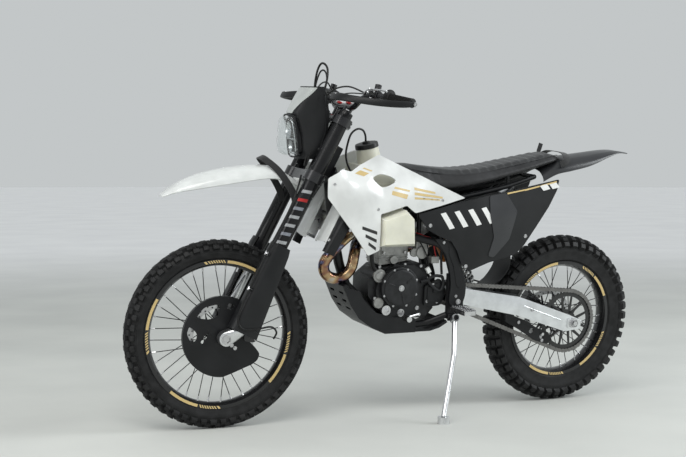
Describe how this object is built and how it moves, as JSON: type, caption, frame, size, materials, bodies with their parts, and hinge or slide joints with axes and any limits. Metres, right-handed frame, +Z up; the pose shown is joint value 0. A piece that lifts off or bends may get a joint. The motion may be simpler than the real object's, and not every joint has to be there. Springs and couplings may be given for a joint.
{
  "type": "dirt bike",
  "caption": "Tall off-road motorcycle with knobbed tyres, a long narrow seat, upswept fenders, hand guards and a lamp mask, parked leaning on its side stand.",
  "frame": {"origin": "on the ground, at the middle of the bounding box's underside", "axes": "+X forward, +Y to the rider's left, +Z up; the bike leans to its left on its side stand, with the steering turned a little to the right"},
  "size_m": [2.1695, 0.8494, 1.3357],
  "materials": {
    "frame_paint": "satin black powder coat",
    "black_plastic": "grained black plastic",
    "engine_dark": "dark coated castings",
    "engine_grey": "sand-cast grey aluminium",
    "header_steel": "heat-tinted steel",
    "silencer_alu": "brushed aluminium",
    "radiator_alu": "bare aluminium fins",
    "tank_plastic": "cream translucent plastic",
    "hose_rubber": "matt black hose",
    "white_plastic": "glossy white plastic",
    "seat_vinyl": "ribbed black seat cover",
    "black_gloss": "semi-gloss black plastic",
    "dark_grey_plastic": "dark grey plastic",
    "raw_alu": "bare aluminium",
    "bright_steel": "bright steel",
    "chain_steel": "oiled chain steel",
    "anodised_black": "black anodised",
    "clear_white_plastic": "translucent white plastic",
    "strap_fabric": "woven black strap",
    "lamp_glass": "clear lamp lens over a grey reflector",
    "grip_rubber": "black grip rubber",
    "tyre_rubber": "matt black tyre rubber",
    "rim_black": "black anodised rim with gold stripes",
    "spoke_steel": "blackened spokes",
    "disc_steel": "brake steel"
  },
  "bodies": {
    "chassis": {"head_tube": "frame_paint", "main_frame": "frame_paint", "subframe": "black_plastic", "engine_case": "engine_dark", "engine_cylinder": "engine_grey", "engine_covers": "engine_dark", "skid_plate": "black_plastic", "exhaust_pipe": "header_steel", "silencer": "silencer_alu", "radiators": "radiator_alu", "radiator_guards": "clear_white_plastic", "fuel_tank": "tank_plastic", "fuel_cap": "black_plastic", "vent_hose": "hose_rubber", "tank_shrouds": "white_plastic", "seat": "seat_vinyl", "side_panels": "black_gloss", "airbox": "black_plastic", "rear_fender": "dark_grey_plastic", "footpegs": "raw_alu", "foot_levers": "raw_alu", "rear_shock": "raw_alu", "swingarm": "raw_alu", "rear_axle": "bright_steel", "drive_chain": "chain_steel", "chain_guide": "black_plastic", "rear_caliper": "anodised_black", "stand_bracket": "frame_paint"},
    "steering": {"triple_clamps": "anodised_black", "fork_tubes": "anodised_black", "fork_lowers": "raw_alu", "fork_guards": "black_plastic", "front_axle": "bright_steel", "disc_guard": "black_plastic", "front_caliper": "anodised_black", "front_fender": "clear_white_plastic", "lift_strap": "strap_fabric", "headlight_mask": "black_gloss", "headlight": "lamp_glass", "handlebar": "anodised_black", "grips": "grip_rubber", "handguards": "black_plastic", "hand_levers": "anodised_black", "brake_hose": "hose_rubber"},
    "front_wheel": {"front_tyre": "tyre_rubber", "front_rim": "rim_black", "front_hub": "anodised_black", "front_spokes": "spoke_steel", "front_disc": "disc_steel"},
    "rear_wheel": {"rear_tyre": "tyre_rubber", "rear_rim": "rim_black", "rear_hub": "anodised_black", "rear_spokes": "spoke_steel", "rear_sprocket": "disc_steel", "rear_disc": "disc_steel"},
    "stand": {"side_stand": "raw_alu"}
  },
  "joints": [
    {"name": "steering_turn", "type": "hinge", "parent": "chassis", "child": "steering", "pos_m": [0.84809, -0.128, 0.0003], "axis": [-0.4462, 0.092, 0.8902], "range_deg": [-36.6, 47.4]},
    {"name": "front_wheel_spin", "type": "hinge", "parent": "steering", "child": "front_wheel", "pos_m": [0.73777, -0.09752, 0.34744], "axis": [0.0842, 0.9946, -0.0606], "continuous": true},
    {"name": "rear_wheel_spin", "type": "hinge", "parent": "chassis", "child": "rear_wheel", "pos_m": [-0.744, -0.09295, 0.3395], "axis": [0, 0.9947, -0.1028], "continuous": true},
    {"name": "stand_fold", "type": "hinge", "parent": "chassis", "child": "stand", "pos_m": [-0.178, 0.05334, 0.37364], "axis": [0.1263, 0.9097, 0.3955], "range_deg": [0, 108]}
  ]
}
